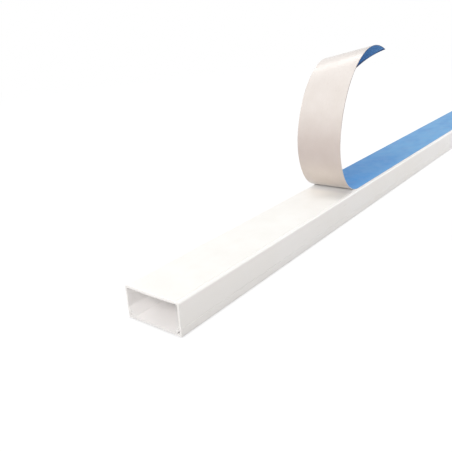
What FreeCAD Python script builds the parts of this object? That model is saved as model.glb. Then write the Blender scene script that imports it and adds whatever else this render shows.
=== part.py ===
import FreeCAD, Part
import math
import os

# Self-adhesive cable raceway, lying on its cover with the sticky back facing up.
# Row frame, in millimetres: X along the raceway, Y across it, Z up from the cover's outside face.

# Extruded section
section_width = 40.0
section_height = 20.0
raceway_length = 1000.0
wall = 1.2
back_corner_radius = 1.2
cover_corner_radius = 0.5
inside_corner_radius = 0.5

# Snap joint between the channel and its cover
play = 0.2
lip_height = 4.8
lip_thickness = 1.4
hook_reach = 0.5
hook_height = 0.6
hook_ramp_height = 0.4
seam_gap = 0.3
web_slant = 0.4
barb_height = 0.3
foot_gap = 2.0
foot_thickness = 1.3
knee_height = 6.9

# Adhesive tape and its release liner
tape_width = 36.0
tape_thickness = 0.5
tape_end_margin = 0.4
liner_thickness = 0.2

# Shape of the peeled length of liner
peel_distance = 214.8
peeled_length = 161.7
curl_radius_at_tape = 23.6
curl_radius_free = 333.0
curl_radius_at_tip = 9.8
root_decay_length = 53.3
tip_decay_length = 20.2
tip_lean = -0.445
lean_power = 2.5
section_count = 30
steps_per_section = 10
overrun_share = 0.75

# Sizes that follow from the ones above
half_width = section_width / 2.0
half_length = raceway_length / 2.0
hook_set_in = lip_thickness + hook_reach
hook_top = lip_height - hook_ramp_height
hook_bottom = hook_top - hook_height
shoulder_height = lip_height + seam_gap
web_set_in = hook_set_in + play
barb_set_in = lip_thickness + play
barb_top = hook_bottom - play
foot_bottom = wall + play
foot_set_in = lip_thickness + foot_gap
tape_top = section_height + tape_thickness
tape_half_length = half_length - tape_end_margin
peel_x = -half_length + peel_distance
liner_mid_height = tape_top + liner_thickness / 2.0
tip_overrun = overrun_share * tape_width * abs(tip_lean)


def extrude_symmetric(half_outline):
    """Extrude a section along X; half_outline lists (set_in from the side face, z), centre to centre."""
    right = [(half_width - set_in, z) for set_in, z in half_outline]
    left = [(-y, z) for y, z in reversed(right) if y > 0.0]
    outline = [FreeCAD.Vector(-half_length, y, z) for y, z in right + left]
    face = Part.Face(Part.makePolygon(outline + [outline[0]]))
    return face.extrude(FreeCAD.Vector(raceway_length, 0, 0))


def round_long_edges(solid, y, z, radius):
    """Round the edges that run the whole length at (+y, z) and (-y, z)."""
    chosen = []
    for edge in solid.Edges:
        box = edge.BoundBox
        runs_along = box.XLength > 0.9 * raceway_length
        at_corner = abs(abs(box.Center.y) - y) < 0.01 and abs(box.Center.z - z) < 0.01
        if runs_along and at_corner:
            chosen.append(edge)
    return solid.makeFillet(radius, chosen)


def make_channel():
    """Back and side walls; each side wall steps in below its shoulder and ends in a slanting barbed foot."""
    inside_top = section_height - wall
    half_outline = [
        (half_width, section_height),
        (0.0, section_height),
        (0.0, shoulder_height),
        (web_set_in - web_slant, shoulder_height),
        (web_set_in, hook_top + play),
        (web_set_in, barb_top),
        (barb_set_in, barb_top),
        (barb_set_in, barb_top - barb_height),
        (foot_set_in, foot_bottom),
        (foot_set_in + foot_thickness, foot_bottom),
        (wall, knee_height),
        (wall, inside_top),
        (half_width, inside_top),
    ]
    channel = extrude_symmetric(half_outline)
    channel = round_long_edges(channel, half_width, section_height, back_corner_radius)
    return round_long_edges(channel, half_width - wall, inside_top, inside_corner_radius)


def make_cover():
    """Flat cover whose two lips stand flush with the side walls and hook over the barbs."""
    half_outline = [
        (half_width, 0.0),
        (0.0, 0.0),
        (0.0, lip_height),
        (lip_thickness, lip_height),
        (hook_set_in, hook_top),
        (hook_set_in, hook_bottom),
        (lip_thickness, hook_bottom),
        (lip_thickness, wall),
        (half_width, wall),
    ]
    cover = extrude_symmetric(half_outline)
    return round_long_edges(cover, half_width, 0.0, cover_corner_radius)


def make_tape():
    """Foam tape along the middle of the back, a little short of both cut ends."""
    corner = FreeCAD.Vector(-tape_half_length, -tape_width / 2.0, section_height)
    return Part.makeBox(2.0 * tape_half_length, tape_width, tape_thickness, corner)


def curvature(distance):
    """Curl of the peeled strip: tight at the tape, easy in the middle, tight again at the tip."""
    free = 1.0 / curl_radius_free
    root = (1.0 / curl_radius_at_tape - free) * math.exp(-distance / root_decay_length)
    tip = (1.0 / curl_radius_at_tip - free) * math.exp((distance - peeled_length) / tip_decay_length)
    return free + root + tip


def lean(distance):
    """Slope of the bending line against square across: zero at the tape, growing towards the tip."""
    return tip_lean * (max(distance, 0.0) / peeled_length) ** lean_power


def curl_frames():
    """March along the middle of the strip and bend it about its own bending line at each step."""
    count = section_count * steps_per_section
    step = (peeled_length + tip_overrun) / count
    centre = FreeCAD.Vector(peel_x, 0, liner_mid_height)
    along = FreeCAD.Vector(-1, 0, 0)
    across = FreeCAD.Vector(0, 1, 0)
    frames = [(0.0, centre, along, across)]
    for i in range(count):
        middle = (i + 0.5) * step
        bend_line = across + along * lean(middle)
        angle = curvature(middle) * bend_line.Length * step
        half_turn = FreeCAD.Rotation(bend_line, math.degrees(angle) / 2.0)
        halfway = half_turn.multVec(along)
        centre = centre + halfway * step
        along = half_turn.multVec(halfway)
        across = half_turn.multVec(half_turn.multVec(across))
        frames.append(((i + 1) * step, centre, along, across))
    return frames


def point_on_bend_line(frame, offset):
    """Point of the strip on one bending line, offset sideways in the unrolled strip."""
    distance, centre, along, across = frame
    return centre + (across + along * lean(distance)) * offset


def strip_section(frame):
    """Thin rectangle that spans the strip along one bending line."""
    near = point_on_bend_line(frame, -tape_width / 2.0)
    far = point_on_bend_line(frame, tape_width / 2.0)
    lift = frame[3].cross(frame[2]) * (liner_thickness / 2.0)
    return Part.makePolygon([near - lift, far - lift, far + lift, near + lift, near - lift])


def point_at_tip(frames, offset):
    """Point on the strip's square end, offset sideways in the unrolled strip."""
    for before, after in zip(frames, frames[1:]):
        start = before[0] + offset * lean(before[0])
        reached = after[0] + offset * lean(after[0])
        if reached >= peeled_length:
            share = (peeled_length - start) / (reached - start)
            low = point_on_bend_line(before, offset)
            high = point_on_bend_line(after, offset)
            return low + (high - low) * share
    raise ValueError("the overrun is too short for the lean at the tip")


def block_beyond_tip(frames):
    """Block that trims the overrun back to the square end of the strip."""
    near = point_at_tip(frames, -tape_width / 2.0)
    middle = point_at_tip(frames, 0.0)
    far = point_at_tip(frames, tape_width / 2.0)
    sideways = (far - near).normalize()
    outward = (near - middle).cross(far - middle).normalize()
    if outward.dot(frames[-1][2]) < 0.0:
        outward = outward * -1.0
    upright = sideways.cross(outward)
    reach = 0.8 * tape_width
    corners = [
        middle - sideways * reach - upright * reach,
        middle + sideways * reach - upright * reach,
        middle + sideways * reach + upright * reach,
        middle - sideways * reach + upright * reach,
    ]
    face = Part.Face(Part.makePolygon(corners + [corners[0]]))
    return face.extrude(outward * (3.0 * tip_overrun))


def make_liner():
    """One strip: flat on the tape up to the peel line, then curled up and back over itself."""
    frames = curl_frames()
    sections = [strip_section(frame) for frame in frames[::steps_per_section]]
    trimmed = Part.makeLoft(sections, True, False).cut(block_beyond_tip(frames))
    # A tightly curled overrun can pass the trimming block, so only the strip itself is kept.
    curl = max(trimmed.Solids, key=lambda solid: solid.Volume)
    flat_length = tape_half_length - peel_x
    corner = FreeCAD.Vector(peel_x, -tape_width / 2.0, tape_top)
    flat = Part.makeBox(flat_length, tape_width, liner_thickness, corner)
    return flat.fuse(curl)


os.makedirs("parts", exist_ok=True)
make_channel().exportStep("parts/base_channel.step")
make_cover().exportStep("parts/cover.step")
make_tape().exportStep("parts/adhesive_tape.step")
make_liner().exportStep("parts/release_liner.step")
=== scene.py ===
import math

import bmesh
import bpy
from mathutils import Matrix, Quaternion, Vector, noise


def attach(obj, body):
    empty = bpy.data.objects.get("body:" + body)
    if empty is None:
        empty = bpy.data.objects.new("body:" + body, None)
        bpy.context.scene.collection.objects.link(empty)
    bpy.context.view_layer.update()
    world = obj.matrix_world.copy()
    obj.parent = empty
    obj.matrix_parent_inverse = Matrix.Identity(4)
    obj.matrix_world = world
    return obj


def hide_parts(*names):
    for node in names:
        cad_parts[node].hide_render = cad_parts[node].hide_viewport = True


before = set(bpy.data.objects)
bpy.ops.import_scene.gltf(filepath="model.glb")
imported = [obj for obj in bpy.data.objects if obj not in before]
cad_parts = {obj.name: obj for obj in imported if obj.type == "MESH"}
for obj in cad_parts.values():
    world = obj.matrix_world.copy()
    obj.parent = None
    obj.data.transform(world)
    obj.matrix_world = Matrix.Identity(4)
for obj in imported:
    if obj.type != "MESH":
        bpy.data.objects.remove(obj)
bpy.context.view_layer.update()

# Sizes in millimetres, as in the solids.
# X runs along the raceway, Y across it, Z up from the cover's outside face.
MM = 0.001
HALF_WIDTH = 20.0
HALF_LENGTH = 500.0
INSIDE_HALF_WIDTH = 18.8
INSIDE_TOP = 18.8
INSIDE_BOTTOM = 1.2

# Section of one half: (distance in from the side face, height, corner radius), from middle to middle.
CHANNEL_SECTION = [
    (20.0, 20.0, 0.0), (0.0, 20.0, 1.2),                        # back and side, outside
    (0.0, 4.95, 0.10), (1.7, 4.95, 0.15),                       # shoulder over the cover's lip
    (2.1, 4.6, 0.15), (2.1, 3.6, 0.08),                         # recess for the hook
    (1.6, 3.6, 0.08), (1.6, 3.3, 0.1),                          # barb
    (3.4, 1.24, 0.12), (4.7, 1.24, 0.10),                       # end of the slanting foot
    (1.2, 6.9, 1.2), (1.2, 18.8, 0.5), (20.0, 18.8, 0.0),       # side and back, inside
]
COVER_SECTION = [
    (20.0, 0.0, 0.0), (0.0, 0.0, 0.5),                          # outside
    (0.0, 4.85, 0.10), (1.4, 4.85, 0.12),                       # top of the lip
    (1.9, 4.4, 0.12), (1.9, 3.8, 0.12), (1.4, 3.8, 0.08),       # hook
    (1.4, 1.2, 0.3), (20.0, 1.2, 0.0),                          # inside
]

# Steps of the extruded meshes
CHAMFER = 0.06              # broken edge round a cut end
LONGEST_SIDE = 2.5          # longest step round a section
SUPPORT = 0.12              # short first and last step of a flat side, so that it is shaded flat
LEAST_ARC_STEPS = 3         # steps round the smallest corner
ARC_STEPS_PER_MM = 9.0      # further steps for each millimetre of its radius
SHARP_ANGLE = 32.0          # degrees; an edge that turns further stays sharp
END_STEPS = [0.6, 1.6, 3.5, 6.0, 9.0, 13.0, 18.0, 24.0, 32.0, 42.0, 54.0, 70.0, 90.0, 115.0, 145.0]
MIDDLE_FROM = 180.0         # distance from a cut end where the even steps start
MIDDLE_STEP = 32.0

# Inward bow of the two wide walls at the cut ends
BACK_BOW = 0.35             # how far the back wall pulls inwards
BACK_BOW_HEIGHTS = (17.0, INSIDE_TOP)
COVER_BOW = 0.20            # and how far the cover does
COVER_BOW_HEIGHTS = (INSIDE_BOTTOM, 2.4)
BOW_FADE = 55.0             # distance from the end over which the pull fades

# Foam tape
TAPE_HALF_WIDTH = 18.0
TAPE_HALF_LENGTH = 499.6
TAPE_BOTTOM = 20.0
TAPE_TOP = 20.5
TAPE_CORNER = 0.32          # radius of its top edges
TAPE_CHAMFER = 0.05
TAPE_FIRST_STEP = 0.08
TAPE_SLOPE = 0.40           # how far the top edges of the bare tape lean in
TAPE_SLOPE_FADE = 8.0       # distance from the peel line where that slope is whole
SLIT_WANDER = 0.10          # unevenness of its slit edges
SLIT_BAND = 1.0             # width along each edge that takes part in it
END_WANDER = 0.25           # unevenness of its cut ends
END_BAND = (TAPE_HALF_LENGTH - 0.9, TAPE_HALF_LENGTH - 0.2)
RIDGE_RISE = 0.48           # the ridge follows the curl, which rises by half of distance squared over radius
RIDGE_BASE = 20.2           # height above which the foam stretches
RIDGE_FADE = 5.0            # distance from the peel line where the foam starts to let go
RIDGE_LENGTH = 10.0         # and where it lies flat again
RIDGE_STEP = 0.5

# Release liner
LINER_THICKNESS = 0.2
LINER_MIDDLE = TAPE_TOP + LINER_THICKNESS / 2.0
PEEL_X = -285.2
PEELED_LENGTH = 161.7
CURL_RADIUS_AT_TAPE = 23.6
CURL_RADIUS_FREE = 333.0
CURL_RADIUS_AT_TIP = 9.8
ROOT_DECAY = 53.3
TIP_DECAY = 20.2
TIP_LEAN = -0.445
LEAN_POWER = 2.5
TIP_OVERRUN = 12.1
MARCH_STEPS = 600
HALVINGS = 30               # steps of the search for a bending line
LINER_COLUMNS = 24
CURL_ROWS = 300
FLAT_ROWS = 90
TIP_HOLLOW = 1.1            # depth of the hollow in the free end
TIP_HOLLOW_AT = -5.0        # its place across the strip
TIP_HOLLOW_REACH = 13.0     # and its half width
TIP_HOLLOW_FROM = 130.0     # distance along the strip where it sets in
WAVE_HEIGHT = 0.35          # faint waviness of the loose film
WAVES_GROW = (8.0, 40.0)
WAVES_FADE = (95.0, 125.0)
LOWERED = 0.07              # two small shifts that keep the wavy film inside the solid's box
LOWERED_ALONG = (60.0, 110.0)
MOVED_IN = 0.05
MOVED_IN_ALONG = (120.0, 155.0)
BLUE_FACE, RELEASE_FACE, SLIT_EDGE = 0, 1, 2


# Shapes

def add_object(name, data):
    """New object in the scene."""
    made = bpy.data.objects.new(name, data)
    bpy.context.scene.collection.objects.link(made)
    return made


def smooth_step(low, high, value):
    """0 below low, 1 above high, and a smooth rise between them."""
    t = min(1.0, max(0.0, (value - low) / (high - low)))
    return t * t * (3.0 - 2.0 * t)


def rounded_corner(before, corner, after, radius):
    """Points of the arc that rounds one corner of an outline."""
    into = (corner - before).normalized()
    out = (after - corner).normalized()
    turn = math.atan2(into.x * out.y - into.y * out.x, into.dot(out))
    start = corner - into * radius * math.tan(abs(turn) / 2.0)
    sideways = Vector((-into.y, into.x)) * math.copysign(radius, turn)
    centre = start + sideways
    count = LEAST_ARC_STEPS + int(radius * ARC_STEPS_PER_MM)
    arc = []
    for i in range(count + 1):
        spoke = start - centre
        spoke.rotate(Matrix.Rotation(turn * i / count, 2))
        arc.append(centre + spoke)
    return arc


def divided_loop(corners):
    """Closed outline through corners (y, z, radius), rounded; all but its shortest sides are divided."""
    points = []
    for i, (y, z, radius) in enumerate(corners):
        corner = Vector((y, z))
        before = Vector(corners[i - 1][:2])
        after = Vector(corners[(i + 1) % len(corners)][:2])
        points += rounded_corner(before, corner, after, radius) if radius else [corner]
    loop = []
    for here, there in zip(points, points[1:] + points[:1]):
        loop.append(here)
        if (there - here).length < 4.0 * SUPPORT:
            continue
        support = (there - here).normalized() * SUPPORT
        first, last = here + support, there - support
        parts = math.ceil((last - first).length / LONGEST_SIDE)
        loop += [first.lerp(last, k / parts) for k in range(parts + 1)]
    return loop


def section_loop(half_section):
    """Closed outline (y, z) of a symmetric section from one half of it."""
    right = [(HALF_WIDTH - set_in, z, radius) for set_in, z, radius in half_section]
    left = [(-y, z, radius) for y, z, radius in reversed(right)]
    return divided_loop(right + [corner for corner in left if corner[0] != 0.0])


def inset_loop(loop, distance):
    """The outline moved inwards by a small distance, a sharp corner by at most twice as much."""
    area = sum(a.x * b.y - a.y * b.x for a, b in zip(loop, loop[1:] + loop[:1]))
    inward = math.copysign(distance, area)
    moved = []
    for i, point in enumerate(loop):
        into = (point - loop[i - 1]).normalized()
        out = (loop[(i + 1) % len(loop)] - point).normalized()
        middle = (into + out).normalized()
        stretch = max(0.5, middle.dot(into))
        moved.append(point + Vector((-middle.y, middle.x)) * (inward / stretch))
    return moved


def stations(half_length, first_step):
    """Places along X with a section, closer together near both cut ends."""
    near = [0.0, first_step] + END_STEPS
    count = int(2.0 * (half_length - MIDDLE_FROM) / MIDDLE_STEP) + 1
    middle = [-half_length + MIDDLE_FROM + i * MIDDLE_STEP for i in range(count)]
    return [-half_length + d for d in near] + middle + [half_length - d for d in reversed(near)]


def bow_at(x, y, most):
    """Inward pull of a wide wall: most in the middle of a cut end."""
    from_end = HALF_LENGTH - abs(x)
    across = max(0.0, 1.0 - (y / HALF_WIDTH) ** 2)
    return most * across * across * math.exp(-from_end / BOW_FADE)


def piece_from(name, points, faces, indices=None):
    """Mesh object from points in millimetres; indices gives each face's material."""
    mesh = bpy.data.meshes.new(name)
    mesh.from_pydata([(x * MM, y * MM, z * MM) for x, y, z in points], [], faces)
    if indices:
        mesh.polygons.foreach_set("material_index", indices)
    mesh.validate()
    mesh.update()
    return add_object(name, mesh)


def face_outwards(piece):
    """Turns every face of a closed mesh outwards, and shades it smooth up to its sharp edges."""
    work = bmesh.new()
    work.from_mesh(piece.data)
    bmesh.ops.recalc_face_normals(work, faces=work.faces)
    work.to_mesh(piece.data)
    work.free()
    piece.data.shade_smooth()
    piece.data.set_sharp_from_angle(angle=math.radians(SHARP_ANGLE))


def extrude_loop(name, loop, places, chamfer, shape):
    """Sweeps an outline along X, with a small chamfer at both ends. shape(x, y, z) places each point."""
    small = inset_loop(loop, chamfer)
    points = []
    for i, x in enumerate(places):
        outline = small if i in (0, len(places) - 1) else loop
        points += [shape(x, p.x, p.y) for p in outline]
    count = len(loop)
    faces = []
    for ring in range(len(places) - 1):
        a, b = ring * count, (ring + 1) * count
        for i in range(count):
            j = (i + 1) % count
            faces.append((a + i, a + j, b + j, b + i))
    last = (len(places) - 1) * count
    faces.append(tuple(range(count)))
    faces.append(tuple(last + k for k in reversed(range(count))))
    made = piece_from(name, points, faces)
    face_outwards(made)
    return made


def make_channel():
    """Channel: its back wall pulls in a little at the cut ends."""
    def shape(x, y, z):
        drop = bow_at(x, y, BACK_BOW) * smooth_step(*BACK_BOW_HEIGHTS, z)
        return x, y, z - drop
    loop = section_loop(CHANNEL_SECTION)
    return extrude_loop("channel_shell", loop, stations(HALF_LENGTH, CHAMFER), CHAMFER, shape)


def make_cover():
    """Cover: its flat face pulls in a little at the cut ends."""
    def shape(x, y, z):
        rise = bow_at(x, y, COVER_BOW) * (1.0 - smooth_step(*COVER_BOW_HEIGHTS, z))
        return x, y, z + rise
    loop = section_loop(COVER_SECTION)
    return extrude_loop("snap_lid", loop, stations(HALF_LENGTH, CHAMFER), CHAMFER, shape)


def tape_shape(x, y, z):
    """Place of a point of the tape, with its uneven edges, its ridge and the bow of the wall under it."""
    slit_noise = noise.noise(Vector((x * 0.11, y * 0.02, 3.0)))
    end_noise = noise.noise(Vector((y * 0.35, 8.0, x * 0.001)))
    bare = 1.0 - smooth_step(PEEL_X - TAPE_SLOPE_FADE, PEEL_X, x)
    slope = TAPE_SLOPE * bare * smooth_step(TAPE_BOTTOM, TAPE_TOP, z)
    inwards = SLIT_WANDER * slit_noise + SLIT_WANDER + slope
    inwards *= smooth_step(TAPE_HALF_WIDTH - SLIT_BAND, TAPE_HALF_WIDTH, abs(y))
    shorter = END_WANDER * (0.5 + 0.5 * end_noise) * smooth_step(*END_BAND, abs(x))
    from_peel = max(0.0, PEEL_X - x)
    ridge = RIDGE_RISE * from_peel * from_peel / CURL_RADIUS_AT_TAPE
    ridge *= 1.0 - smooth_step(RIDGE_FADE, RIDGE_LENGTH, from_peel)
    z += ridge * smooth_step(RIDGE_BASE, TAPE_TOP, z) - bow_at(x, y, BACK_BOW)
    return x - math.copysign(shorter, x), y - math.copysign(inwards, y), z


def make_tape():
    """Foam tape: slightly uneven slit edges, pulled up a little where the liner leaves it."""
    loop = divided_loop([
        (-TAPE_HALF_WIDTH, TAPE_BOTTOM, 0.0),
        (TAPE_HALF_WIDTH, TAPE_BOTTOM, 0.0),
        (TAPE_HALF_WIDTH, TAPE_TOP, TAPE_CORNER),
        (-TAPE_HALF_WIDTH, TAPE_TOP, TAPE_CORNER),
    ])
    ridge_steps = int(RIDGE_LENGTH / RIDGE_STEP) + 2
    fine = [PEEL_X - RIDGE_LENGTH + RIDGE_STEP * i for i in range(ridge_steps)]
    places = sorted(set(stations(TAPE_HALF_LENGTH, TAPE_FIRST_STEP)) | set(fine))
    return extrude_loop("foam_strip", loop, places, TAPE_CHAMFER, tape_shape)


# Peeled liner

def curvature(distance):
    """Curl of the peeled strip: tight at the tape, easy in the middle, tight again at the tip."""
    free = 1.0 / CURL_RADIUS_FREE
    root = (1.0 / CURL_RADIUS_AT_TAPE - free) * math.exp(-distance / ROOT_DECAY)
    tip = (1.0 / CURL_RADIUS_AT_TIP - free) * math.exp((distance - PEELED_LENGTH) / TIP_DECAY)
    return free + root + tip


def lean(distance):
    """Slope of the bending line against square across: zero at the tape, growing towards the tip."""
    return TIP_LEAN * (max(distance, 0.0) / PEELED_LENGTH) ** LEAN_POWER


def curl_frames():
    """(centre, along, across) at even steps along the middle of the peeled strip, and the step."""
    step = (PEELED_LENGTH + TIP_OVERRUN) / MARCH_STEPS
    centre = Vector((PEEL_X, 0.0, LINER_MIDDLE))
    along, across = Vector((-1.0, 0.0, 0.0)), Vector((0.0, 1.0, 0.0))
    frames = [(centre.copy(), along.copy(), across.copy())]
    for i in range(MARCH_STEPS):
        middle = (i + 0.5) * step
        bend_line = across + along * lean(middle)
        angle = curvature(middle) * bend_line.length * step
        half_turn = Quaternion(bend_line.normalized(), angle / 2.0)
        halfway = half_turn @ along
        centre = centre + halfway * step
        along = half_turn @ halfway
        across = half_turn @ (half_turn @ across)
        frames.append((centre.copy(), along.copy(), across.copy()))
    return frames, step


def bend_line_at(unrolled, offset):
    """Distance along the middle where the bending line through an unrolled point crosses it."""
    low, high = 0.0, PEELED_LENGTH + TIP_OVERRUN
    for _ in range(HALVINGS):
        middle = (low + high) / 2.0
        if middle + offset * lean(middle) < unrolled:
            low = middle
        else:
            high = middle
    return (low + high) / 2.0


def curl_point(frames, step, unrolled, offset):
    """Point on the middle of the curled film, and the direction of its blue side."""
    distance = bend_line_at(unrolled, offset)
    at = min(int(distance / step), MARCH_STEPS - 1)
    share = distance / step - at
    before, after = frames[at], frames[at + 1]
    centre = before[0].lerp(after[0], share)
    along = before[1].lerp(after[1], share).normalized()
    across = before[2].lerp(after[2], share).normalized()
    point = centre + (across + along * lean(distance)) * offset
    return point, across.cross(along).normalized()


def liner_point(frames, step, unrolled, offset):
    """Point on the middle of the film, flat or curled and a little wavy, and the way its blue side faces."""
    if unrolled <= 0.0:
        return Vector((PEEL_X - unrolled, offset, LINER_MIDDLE)), Vector((0.0, 0.0, 1.0))
    point, up = curl_point(frames, step, unrolled, offset)
    loose = smooth_step(*WAVES_GROW, unrolled) * (1.0 - smooth_step(*WAVES_FADE, unrolled))
    place = Vector((unrolled * 0.035, offset * 0.05, 1.7))
    point = point + up * (WAVE_HEIGHT * loose * noise.noise(place))
    point.z -= LOWERED * smooth_step(*LOWERED_ALONG, unrolled)
    point.y += MOVED_IN * smooth_step(*MOVED_IN_ALONG, unrolled)
    return point, up


def strip_faces(row_count, column_count):
    """Faces of the closed strip and the kind of each. Every place has a point above and one below."""
    def at(row, column, under=0):
        return 2 * (row * column_count + column) + under

    faces, kinds = [], []
    for r in range(row_count - 1):
        for c in range(column_count - 1):
            top = (at(r, c), at(r, c + 1), at(r + 1, c + 1), at(r + 1, c))
            faces += [top, tuple(k + 1 for k in reversed(top))]
            kinds += [BLUE_FACE, RELEASE_FACE]
        for c in (0, column_count - 1):
            faces.append((at(r, c), at(r + 1, c), at(r + 1, c, 1), at(r, c, 1)))
            kinds.append(SLIT_EDGE)
    for r in (0, row_count - 1):
        for c in range(column_count - 1):
            faces.append((at(r, c), at(r, c, 1), at(r, c + 1, 1), at(r, c + 1)))
            kinds.append(SLIT_EDGE)
    return faces, kinds


def make_liner():
    """Film liner: one thin strip with its own faces for the blue side, the release side and the cut edge."""
    frames, step = curl_frames()
    width = 2.0 * TAPE_HALF_WIDTH
    columns = [width * c / LINER_COLUMNS - TAPE_HALF_WIDTH for c in range(LINER_COLUMNS + 1)]
    flat_length = TAPE_HALF_LENGTH - PEEL_X
    rows = [-flat_length * (1.0 - r / FLAT_ROWS) for r in range(FLAT_ROWS)]
    rows += [PEELED_LENGTH * r / CURL_ROWS for r in range(CURL_ROWS + 1)]
    points, strip = [], []
    for row in rows:
        for offset in columns:
            hollow = max(0.0, 1.0 - ((offset - TIP_HOLLOW_AT) / TIP_HOLLOW_REACH) ** 2)
            unrolled = row - TIP_HOLLOW * hollow * smooth_step(TIP_HOLLOW_FROM, PEELED_LENGTH, row)
            point, up = liner_point(frames, step, unrolled, offset)
            for side in (1.0, -1.0):
                points.append(point + up * (side * LINER_THICKNESS / 2.0))
                strip += [unrolled * MM, offset * MM, 0.0]
    made = piece_from("liner_strip", points, *strip_faces(len(rows), len(columns)))
    layer = made.data.attributes.new("strip", "FLOAT_VECTOR", "POINT")
    layer.data.foreach_set("vector", strip)
    face_outwards(made)
    return made


# Materials

def add_node(tree, kind, inputs=None, **settings):
    """New node; inputs maps a socket name or number to a value or to another node's output."""
    made = tree.nodes.new(kind)
    for key, value in settings.items():
        setattr(made, key, value)
    for key, value in (inputs or {}).items():
        feed(tree, made.inputs[key], value)
    return made


def feed(tree, socket, value):
    """Links a socket to another node's output, or sets its value."""
    if isinstance(value, bpy.types.NodeSocket):
        tree.links.new(value, socket)
    else:
        socket.default_value = value


def times(colour, factors):
    """Colour multiplied channel by channel."""
    return tuple(v * f for v, f in zip(colour, factors))


class Surface:
    """A node material under construction, around one Principled shader. Colours are linear."""

    def __init__(self, name):
        self.material = bpy.data.materials.new(name)
        self.material.use_nodes = True
        self.tree = self.material.node_tree
        self.shader = self.tree.nodes["Principled BSDF"]
        self.place = self.node("ShaderNodeTexCoord").outputs["Object"]

    def node(self, kind, inputs=None, **settings):
        """New node of this material."""
        return add_node(self.tree, kind, inputs, **settings)

    def stretched(self, x, y, z, source=None):
        """Coordinates multiplied along each axis."""
        inputs = {0: source or self.place, 1: (x, y, z)}
        return self.node("ShaderNodeVectorMath", inputs, operation="MULTIPLY").outputs[0]

    def tinted(self, colour, factors):
        """Colour from another node, multiplied channel by channel."""
        return self.stretched(*factors, colour)

    def axis(self, name, source=None):
        """One coordinate of a place."""
        return self.node("ShaderNodeSeparateXYZ", {0: source or self.place}).outputs[name]

    def away_from_middle(self, name):
        """One coordinate of the place without its sign."""
        return self.node("ShaderNodeMath", {0: self.axis(name)}, operation="ABSOLUTE").outputs[0]

    def noise(self, place, scale, detail=2.0, roughness=0.5):
        """Smooth random value from 0 to 1."""
        inputs = {"Vector": place, "Scale": scale, "Detail": detail, "Roughness": roughness}
        return self.node("ShaderNodeTexNoise", inputs).outputs["Fac"]

    def cells(self, place, scale):
        """Distance to the nearest of many scattered points."""
        return self.node("ShaderNodeTexVoronoi", {"Vector": place, "Scale": scale}).outputs["Distance"]

    def ranged(self, value, low, high, to_low=0.0, to_high=1.0):
        """Maps low..high onto to_low..to_high, smoothly and without overshoot."""
        inputs = {0: value, 1: low, 2: high, 3: to_low, 4: to_high}
        return self.node("ShaderNodeMapRange", inputs, interpolation_type="SMOOTHSTEP").outputs[0]

    def rise(self, place, low, high):
        """0 where a coordinate is below low millimetres, and 1 where it is above high."""
        return self.ranged(place, low * MM, high * MM)

    def fall(self, place, low, high):
        """1 where a coordinate is below low millimetres, and 0 where it is above high."""
        return self.ranged(place, low * MM, high * MM, 1.0, 0.0)

    def combined(self, operation, a, b):
        return self.node("ShaderNodeMath", {0: a, 1: b}, operation=operation).outputs[0]

    def sum(self, a, b):
        return self.combined("ADD", a, b)

    def product(self, a, b):
        return self.combined("MULTIPLY", a, b)

    def larger(self, a, b):
        return self.combined("MAXIMUM", a, b)

    def blend(self, share, a, b):
        """Colour a where share is 0 and colour b where it is 1."""
        a, b = (c if isinstance(c, bpy.types.NodeSocket) else (*c, 1.0) for c in (a, b))
        return self.node("ShaderNodeMix", {0: share, 6: a, 7: b}, data_type="RGBA").outputs[2]

    def layer(self, colour, over, mask, most):
        """Lays a colour over another where the mask is 1, by a share of at most most."""
        return self.blend(self.product(mask, most), colour, over)

    def bumps(self, *layers):
        """Gives the shader's normal bump layers, each a height from 0 to 1 and a depth in metres."""
        normal = None
        for height, depth in layers:
            inputs = {"Height": height, "Distance": depth, "Strength": 1.0}
            if normal:
                inputs["Normal"] = normal
            normal = self.node("ShaderNodeBump", inputs).outputs["Normal"]
        feed(self.tree, self.shader.inputs["Normal"], normal)

    def finish(self, colour, roughness, **constants):
        """The material, with its colour and roughness and with constants set on the shader's own sockets."""
        feed(self.tree, self.shader.inputs["Base Color"], colour)
        feed(self.tree, self.shader.inputs["Roughness"], roughness)
        for name, value in constants.items():
            self.shader.inputs[name.replace("_", " ")].default_value = value
        return self.material


PVC_CHANNEL = (0.948, 0.940, 0.932)
PVC_COVER = (0.945, 0.937, 0.929)
# lighter, pinker tone of the inside faces: painted light
PVC_INSIDE_PAINTED_LIGHT = (0.985, 0.970, 0.962)
PVC_SCUFFED = (0.70, 0.68, 0.64)
PVC_GRIMY = (0.52, 0.47, 0.40)
PVC_SAWN = (0.88, 0.88, 0.87)
PVC_SAWN_DARK = (0.81, 0.805, 0.79)
BLOTCH_FACTORS = (0.985, 0.975, 0.955)
DIE_LINE_FACTORS = (0.94, 0.94, 0.94)


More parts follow.
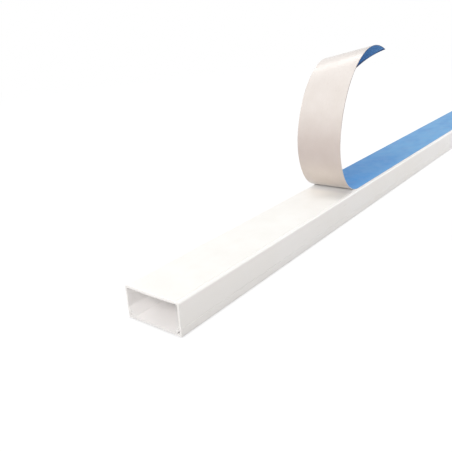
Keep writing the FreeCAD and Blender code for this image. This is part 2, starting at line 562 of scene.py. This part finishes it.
def extruded_plastic(name, tone):
    """White rigid PVC: faint blotches, die lines along X, light scuffs, painted light on the inside faces,
    matt sawn ends.
    """
    s = Surface(name)
    blotches = s.noise(s.place, 14.0, 3.0)
    die_lines = s.noise(s.stretched(3.0, 900.0, 900.0), 1.0, 3.0, 0.6)
    scratches = s.noise(s.stretched(60.0, 700.0, 700.0), 1.0)
    patches = s.noise(s.place, 33.0)
    scuffs = s.product(s.ranged(scratches, 0.64, 0.72), s.ranged(patches, 0.52, 0.66))
    dirt = s.noise(s.place, 90.0, 4.0, 0.65)
    grime = s.product(s.fall(s.axis("Z"), 0.0, 2.2), s.ranged(dirt, 0.35, 0.75))
    between_sides = s.fall(s.away_from_middle("Y"), INSIDE_HALF_WIDTH + 0.10, INSIDE_HALF_WIDTH + 0.16)
    under_back = s.fall(s.axis("Z"), INSIDE_TOP + 0.08, INSIDE_TOP + 0.14)
    above_cover = s.rise(s.axis("Z"), INSIDE_BOTTOM - 0.20, INSIDE_BOTTOM - 0.05)
    inside = s.product(between_sides, s.product(under_back, above_cover))
    cut = s.rise(s.away_from_middle("X"), HALF_LENGTH - 0.22, HALF_LENGTH - 0.06)
    saw_marks = s.noise(s.stretched(10.0, 300.0, 4200.0), 1.0, 2.0, 0.6)

    colour = s.blend(s.ranged(blotches, 0.3, 0.7), tone, times(tone, BLOTCH_FACTORS))
    drawn = s.ranged(die_lines, 0.55, 0.85, 0.0, 0.15)
    colour = s.blend(drawn, colour, times(tone, DIE_LINE_FACTORS))
    colour = s.layer(colour, PVC_SCUFFED, scuffs, 0.35)
    colour = s.layer(colour, PVC_GRIMY, grime, 0.08)
    # painted light: the faces inside the channel are lighter and pinker than the outside, standing in for
    # light that reaches into it
    colour = s.blend(inside, colour, PVC_INSIDE_PAINTED_LIGHT)
    colour = s.blend(cut, colour, s.blend(saw_marks, PVC_SAWN, PVC_SAWN_DARK))

    rough = s.ranged(blotches, 0.2, 0.8, 0.30, 0.40)
    rough = s.sum(rough, s.product(scuffs, 0.25))
    rough = s.sum(rough, s.product(cut, 0.30))
    s.bumps(
        (die_lines, 0.000018),
        (s.noise(s.place, 2400.0), 0.000006),
        (s.product(saw_marks, cut), 0.00005),
    )
    return s.finish(colour, rough, Specular_IOR_Level=0.42)


FOAM_FACE = (0.925, 0.92, 0.895)
FOAM_FACE_DARK = (0.90, 0.892, 0.86)
FOAM_PORE = (0.92, 0.91, 0.88)
# open foam of the slit edges, made lighter than its own cream: partly painted light
FOAM_SLIT_PAINTED_LIGHT = (0.95, 0.945, 0.93)
# greyer band in front of the peel line: painted shade of the curl
FOAM_PAINTED_PEEL_SHADE = (0.76, 0.765, 0.78)
# grey of the curl's shadow on the tape: painted shadow
FOAM_PAINTED_CURL_SHADOW = (0.28, 0.29, 0.31)


def foam_tape():
    """White foam tape: rippled tacky face, painted shade of the curl in front of the peel line, open foam on
    the slit edges, partly painted lighter.
    """
    s = Surface("tape_foam_white")
    mottle = s.noise(s.place, 60.0, 4.0, 0.6)
    edge = s.rise(s.away_from_middle("Y"), TAPE_HALF_WIDTH - 0.22, TAPE_HALF_WIDTH - 0.08)
    end = s.rise(s.away_from_middle("X"), TAPE_HALF_LENGTH - 0.45, TAPE_HALF_LENGTH - 0.25)
    slit = s.larger(edge, end)
    pores = s.cells(s.place, 5200.0)
    along = s.axis("X")
    # painted shade: a greyer band just in front of the peel line, where the curl shades the tape
    stretched = s.product(
        s.rise(along, PEEL_X - 22.0, PEEL_X - 11.0),
        s.fall(along, PEEL_X - 8.0, PEEL_X - 3.0),
    )
    # painted shadow of the curl, wider on the near side of the tape
    painted_curl_shadow = s.product(
        s.rise(along, PEEL_X - 42.0, PEEL_X - 24.0),
        s.product(s.fall(along, PEEL_X - 14.0, PEEL_X - 8.0), s.fall(s.axis("Y"), -TAPE_HALF_WIDTH, 8.0)),
    )

    colour = s.blend(s.ranged(mottle, 0.3, 0.7), FOAM_FACE, FOAM_FACE_DARK)
    # open foam on the slit edges and cut ends, partly painted light: a little lighter than the face so that
    # their shade reads less
    colour = s.blend(slit, colour, s.blend(s.ranged(pores, 0.1, 0.6), FOAM_PORE, FOAM_SLIT_PAINTED_LIGHT))
    colour = s.layer(colour, FOAM_PAINTED_PEEL_SHADE, stretched, 0.80)
    colour = s.layer(colour, FOAM_PAINTED_CURL_SHADOW, painted_curl_shadow, 0.34)

    coating = s.noise(s.stretched(9.0, 160.0, 160.0), 1.0, 3.0)
    rough = s.ranged(coating, 0.3, 0.7, 0.40, 0.52)
    rough = s.sum(rough, s.product(slit, 0.35))
    s.bumps(
        (coating, 0.00003),
        (s.noise(s.place, 900.0, 3.0, 0.6), 0.00002),
        (s.product(pores, slit), 0.00003),
    )
    return s.finish(colour, rough, Specular_IOR_Level=0.35)


def strip_place(s):
    """Coordinates on the unrolled strip: x along it from the peel line, y across it."""
    return s.node("ShaderNodeAttribute", attribute_name="strip").outputs["Vector"]


def painted_rim_shade(s, place):
    """Painted shade: a dark line across the free end, and a finer one along the near slit edge by it, where
    the film's edge lies in shade.
    """
    along, across = s.axis("X", place), s.axis("Y", place)
    edge = s.product(s.fall(across, -17.9, -17.6), s.rise(along, 55.0, 85.0))
    return s.larger(edge, s.rise(along, PEELED_LENGTH - 2.1, PEELED_LENGTH - 1.1))


BLUE = (0.076, 0.314, 0.620)
BLUE_LIGHT = (0.098, 0.348, 0.662)
# darker blue towards the curl and in the fold: painted shade
BLUE_PAINTED_CURL_SHADE = (0.036, 0.250, 0.584)
BLUE_PAINTED_FOLD_SHADE = (0.012, 0.254, 0.640)
BLUE_BLOTCH = (0.030, 0.225, 0.570)
BLUE_STREAK = (0.052, 0.255, 0.600)
BLUE_NEAR_EDGE = (0.110, 0.380, 0.720)
BLUE_TIP = (0.112, 0.300, 0.625)
BLUE_TIP_LIGHT = (0.136, 0.330, 0.660)
BLUE_PAINTED_RIM_SHADE = (0.040, 0.060, 0.160)


def liner_blue():
    """Blue coated side of the film: soft mottling and blotches, coating streaks along the strip, satin, with
    painted shade towards the curl and in the fold and a painted dark rim.
    """
    s = Surface("liner_blue_coat")
    place = strip_place(s)
    along = s.axis("X", place)
    mottle = s.noise(place, 110.0, 4.0, 0.6)
    mottled = s.ranged(mottle, 0.25, 0.75)
    streaks = s.noise(s.stretched(25.0, 420.0, 1.0, place), 1.0, 3.0, 0.55)
    blotches = s.noise(s.stretched(26.0, 60.0, 1.0, place), 1.0)
    # painted shade in the fold, on both sides of the peel line
    painted_fold_shade = s.product(s.rise(along, -60.0, -12.0), s.fall(along, 20.0, 60.0))
    near_edge = s.fall(s.axis("Y", place), -TAPE_HALF_WIDTH, -8.0)

    colour = s.blend(mottled, BLUE, BLUE_LIGHT)
    # painted shade: the blue darkens towards the curl, which shades it
    colour = s.layer(colour, BLUE_PAINTED_CURL_SHADE, s.rise(along, -150.0, -85.0), 0.9)
    colour = s.blend(painted_fold_shade, colour, BLUE_PAINTED_FOLD_SHADE)
    colour = s.blend(s.ranged(blotches, 0.42, 0.66, 0.0, 0.55), colour, BLUE_BLOTCH)
    colour = s.blend(s.ranged(streaks, 0.45, 0.8, 0.0, 0.35), colour, BLUE_STREAK)
    colour = s.layer(colour, BLUE_NEAR_EDGE, near_edge, 0.30)
    colour = s.blend(s.rise(along, 95.0, 125.0), colour, s.blend(mottled, BLUE_TIP, BLUE_TIP_LIGHT))
    # painted shade along the free end and the near slit edge
    colour = s.layer(colour, BLUE_PAINTED_RIM_SHADE, painted_rim_shade(s, place), 0.85)

    s.bumps((streaks, 0.000015), (s.noise(place, 1500.0), 0.000008))
    return s.finish(colour, s.ranged(mottle, 0.3, 0.7, 0.36, 0.46), Specular_IOR_Level=0.32)


# tones along the release side: painted light and shade of the curl
RELEASE_LOW_PAINTED_LIGHT = (0.690, 0.618, 0.562)
RELEASE_MIDDLE_PAINTED_SHADE = (0.588, 0.522, 0.492)
RELEASE_HIGH_PAINTED_LIGHT = (0.742, 0.700, 0.668)
RELEASE_FOOT_PAINTED_LIGHT = (0.870, 0.835, 0.800)
RELEASE_TIP_PAINTED_SHADE = (0.560, 0.520, 0.490)
RELEASE_FIBRE = (0.590, 0.518, 0.478)
RELEASE_PAINTED_RIM_SHADE = (0.240, 0.190, 0.160)
CLOUD_FACTORS = (0.95, 0.94, 0.93)


def liner_release():
    """Release side of the film: pale warm grey with painted light and shade along the strip, faint paper-like
    clouding, a glossy silicone coat.
    """
    s = Surface("liner_release_coat")
    place = strip_place(s)
    along = s.axis("X", place)
    clouds = s.noise(place, 70.0, 5.0, 0.62)
    fibres = s.noise(s.stretched(260.0, 900.0, 1.0, place), 1.0, 4.0, 0.6)

    # painted light and shade: lighter low down and near the top, darker in the middle, following how light
    # falls on the curl
    tone = s.blend(s.rise(along, 30.0, 50.0), RELEASE_LOW_PAINTED_LIGHT, RELEASE_MIDDLE_PAINTED_SHADE)
    tone = s.blend(s.rise(along, 52.0, 88.0), tone, RELEASE_HIGH_PAINTED_LIGHT)
    # painted light at the foot, which lifts the shade where the film leaves the tape
    tone = s.blend(s.fall(along, 8.0, 18.0), tone, RELEASE_FOOT_PAINTED_LIGHT)
    # painted shade at the free end, which tones down its highlight
    tone = s.blend(s.rise(along, 128.0, 145.0), tone, RELEASE_TIP_PAINTED_SHADE)
    colour = s.blend(s.ranged(clouds, 0.25, 0.75), tone, s.tinted(tone, CLOUD_FACTORS))
    colour = s.blend(s.ranged(fibres, 0.5, 0.85, 0.0, 0.35), colour, RELEASE_FIBRE)
    # painted shade along the free end and the near slit edge
    colour = s.layer(colour, RELEASE_PAINTED_RIM_SHADE, painted_rim_shade(s, place), 0.7)

    rough = s.ranged(clouds, 0.3, 0.7, 0.30, 0.38)
    s.bumps((clouds, 0.00002), (fibres, 0.000006))
    return s.finish(colour, rough, Specular_IOR_Level=0.2, Coat_Weight=0.55, Coat_Roughness=0.17)


FILM_CORE = (0.70, 0.70, 0.72)
FILM_CORE_DARK = (0.60, 0.62, 0.66)
FILM_EDGE_PAINTED_SHADE = (0.16, 0.14, 0.16)


def liner_edge():
    """Slit edge of the film: the pale core between its two coats, with painted shade that darkens it towards
    the free end.
    """
    s = Surface("liner_slit_edge")
    grain = s.noise(s.place, 1800.0, 3.0)
    along = s.axis("X", strip_place(s))
    # painted shade towards the free end
    colour = s.blend(s.rise(along, 40.0, 80.0), s.blend(grain, FILM_CORE, FILM_CORE_DARK), FILM_EDGE_PAINTED_SHADE)
    s.bumps((grain, 0.00002))
    return s.finish(colour, s.ranged(grain, 0.3, 0.7, 0.5, 0.6), Specular_IOR_Level=0.35)


# The object

def dress(piece, body, node, slot, *materials):
    """Gives a piece its materials, hides the part of the solids that it stands for, and attaches it to the
    body it rides on.
    """
    for material in materials:
        piece.data.materials.append(material)
    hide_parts(node)
    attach(piece, body)


dress(make_channel(), "channel", "base_channel", "channel_pvc", extruded_plastic("pvc_channel", PVC_CHANNEL))
dress(make_cover(), "snap_cover", "cover", "cover_pvc", extruded_plastic("pvc_cover", PVC_COVER))
dress(make_tape(), "channel", "adhesive_tape", "tape_foam", foam_tape())
dress(make_liner(), "channel", "release_liner", "liner_film", liner_blue(), liner_release(), liner_edge())


# Stage, light and camera, in metres

WHITE = (1.0, 1.0, 1.0, 1.0)
FLOOR_HALF = 6.0
FLOOR_HEIGHT = -0.0001
FLOOR_BOUNCE_BY_OBJECT = (0.24, 0.232, 0.225, 1.0)
FLOOR_BOUNCE = (0.56, 0.547, 0.535, 1.0)
FLOOR_SHADE = (0.20, 0.20, 0.20, 1.0)
BOUNCE_REACH = 0.05         # distance within which the object dims the light from the floor
CONTACT_REACH = 0.0018      # distance within which it leaves a contact line
CAMERA_PLACE = (-0.6665, -0.1907, 0.1495)
CAMERA_PITCH = 20.73        # degrees downwards
CAMERA_YAW = 50.75          # degrees from +Y towards +X
CAMERA_ROLL = -4.13
CAMERA_SENSOR = 36.0        # millimetres
CAMERA_LENS = 42.25


def cleared_tree(owner):
    """Empty node tree of a material or world."""
    owner.use_nodes = True
    owner.node_tree.nodes.clear()
    return owner.node_tree


def seen_directly(tree):
    """1 for rays that show the background: from the camera, or by way of gloss or glass."""
    path = add_node(tree, "ShaderNodeLightPath")
    total = path.outputs["Is Camera Ray"]
    for name in ("Is Glossy Ray", "Is Transmission Ray"):
        either = add_node(tree, "ShaderNodeMath", {0: total, 1: path.outputs[name]}, operation="MAXIMUM")
        total = either.outputs[0]
    return total


def mixed(tree, share, a, b):
    """Shader a where share is 0 and shader b where it is 1."""
    return add_node(tree, "ShaderNodeMixShader", {0: share, 1: a.outputs[0], 2: b.outputs[0]})


def make_floor():
    """Large pale floor that looks white but keeps the object's soft shadow."""
    signs = [(-1.0, -1.0), (1.0, -1.0), (1.0, 1.0), (-1.0, 1.0)]
    corners = [(x * FLOOR_HALF, y * FLOOR_HALF, FLOOR_HEIGHT) for x, y in signs]
    mesh = bpy.data.meshes.new("floor")
    mesh.from_pydata(corners, [], [(0, 1, 2, 3)])
    floor = add_object("floor", mesh)
    material = bpy.data.materials.new("floor_white")
    tree = cleared_tree(material)

    # Light that the floor sends on to the object
    nearby = add_node(tree, "ShaderNodeAmbientOcclusion", {"Distance": BOUNCE_REACH}, samples=4)
    inputs = {0: nearby.outputs["AO"], 6: FLOOR_BOUNCE_BY_OBJECT, 7: FLOOR_BOUNCE}
    dimmed = add_node(tree, "ShaderNodeMix", inputs, data_type="RGBA")
    bounce = add_node(tree, "ShaderNodeBsdfDiffuse", {"Color": dimmed.outputs[2]})

    # White that the camera sees, with the shadow and a thin contact line
    contact = add_node(tree, "ShaderNodeAmbientOcclusion", {"Distance": CONTACT_REACH}, samples=8)
    inputs = {"Value": contact.outputs["AO"], "From Min": 0.35, "To Min": 0.60, "To Max": 0.83}
    level = add_node(tree, "ShaderNodeMapRange", inputs)
    white = add_node(tree, "ShaderNodeEmission", {"Strength": level.outputs[0]})
    shade = add_node(tree, "ShaderNodeBsdfDiffuse", {"Color": FLOOR_SHADE})
    both = add_node(tree, "ShaderNodeAddShader", {0: shade.outputs[0], 1: white.outputs[0]})

    # Plain white from a distance, so that the floor has no visible edge
    place = add_node(tree, "ShaderNodeTexCoord")
    away = add_node(tree, "ShaderNodeVectorMath", {0: place.outputs["Object"]}, operation="LENGTH")
    inputs = {"Value": away.outputs["Value"], "From Min": 0.55, "From Max": 1.3}
    far = add_node(tree, "ShaderNodeMapRange", inputs, interpolation_type="SMOOTHSTEP")
    fade = mixed(tree, far.outputs[0], both, add_node(tree, "ShaderNodeEmission"))

    pick = mixed(tree, seen_directly(tree), bounce, fade)
    add_node(tree, "ShaderNodeOutputMaterial", {"Surface": pick.outputs[0]})
    mesh.materials.append(material)


def make_world(horizon, zenith):
    """Plain pale surroundings: white where seen, a soft light that grows from the horizon to overhead."""
    world = bpy.data.worlds.new("studio")
    bpy.context.scene.world = world
    tree = cleared_tree(world)
    place = add_node(tree, "ShaderNodeTexCoord")
    split = add_node(tree, "ShaderNodeSeparateXYZ", {0: place.outputs["Generated"]})
    inputs = {"Value": split.outputs["Z"], "To Min": horizon, "To Max": zenith}
    height = add_node(tree, "ShaderNodeMapRange", inputs)
    light = add_node(tree, "ShaderNodeBackground", {"Color": WHITE, "Strength": height.outputs[0]})
    white = add_node(tree, "ShaderNodeBackground", {"Color": WHITE, "Strength": 1.0})
    pick = mixed(tree, seen_directly(tree), light, white)
    add_node(tree, "ShaderNodeOutputWorld", {"Surface": pick.outputs[0]})


def make_lamp(name, towards, distance, size, level, tint=(1.0, 1.0, 1.0), target=(-0.30, 0.0, 0.02)):
    """Soft lamp aimed at a point. level is how bright it alone makes a white face there, turned to it."""
    towards = Vector(towards).normalized()
    data = bpy.data.lights.new(name, "AREA")
    data.shape = "RECTANGLE"
    data.size, data.size_y = size
    data.color = tint
    data.energy = level * math.pi * math.pi * distance * distance
    lamp = add_object(name, data)
    lamp.location = Vector(target) + towards * distance
    lamp.rotation_mode = "QUATERNION"
    lamp.rotation_quaternion = (-towards).to_track_quat("-Z", "Y")
    lamp.visible_camera = False


def make_camera():
    """Camera at the photograph's viewing angle, on the near side of the peeled end."""
    pitch, yaw, roll = (math.radians(a) for a in (CAMERA_PITCH, CAMERA_YAW, CAMERA_ROLL))
    ahead = math.cos(pitch)
    forward = Vector((ahead * math.sin(yaw), ahead * math.cos(yaw), -math.sin(pitch)))
    right = Vector((math.cos(yaw), -math.sin(yaw), 0.0))
    up = right.cross(forward)
    camera_x = math.cos(roll) * right + math.sin(roll) * up
    camera_y = -math.sin(roll) * right + math.cos(roll) * up
    data = bpy.data.cameras.new("camera")
    data.sensor_width = CAMERA_SENSOR
    data.lens = CAMERA_LENS
    data.clip_start, data.clip_end = 0.01, 30.0
    camera = add_object("camera", data)
    turned = Matrix((camera_x, camera_y, -forward)).transposed()
    camera.matrix_world = Matrix.Translation(CAMERA_PLACE) @ turned.to_4x4()
    bpy.context.scene.camera = camera


bpy.context.scene.view_settings.view_transform = "Standard"
make_floor()
make_world(horizon=0.16, zenith=0.77)
make_lamp("back_strip", (0.206, 0.566, 0.799), 3.0, (1.9, 0.36), 0.10)
make_lamp("front_soft", (-0.80, -0.24, 0.53), 3.0, (2.4, 1.4), 0.73, tint=(1.0, 0.972, 0.957))
make_lamp(
    "side_fill", (0.60, -0.75, 0.28), 1.0, (0.8, 0.5), 0.44, tint=(1.0, 0.99, 0.985), target=(0.20, 0.0, 0.02)
)
make_lamp("back_fill", (0.05, 0.97, 0.22), 3.0, (2.2, 1.0), 0.20, target=(0.1, 0.0, 0.02))
make_camera()
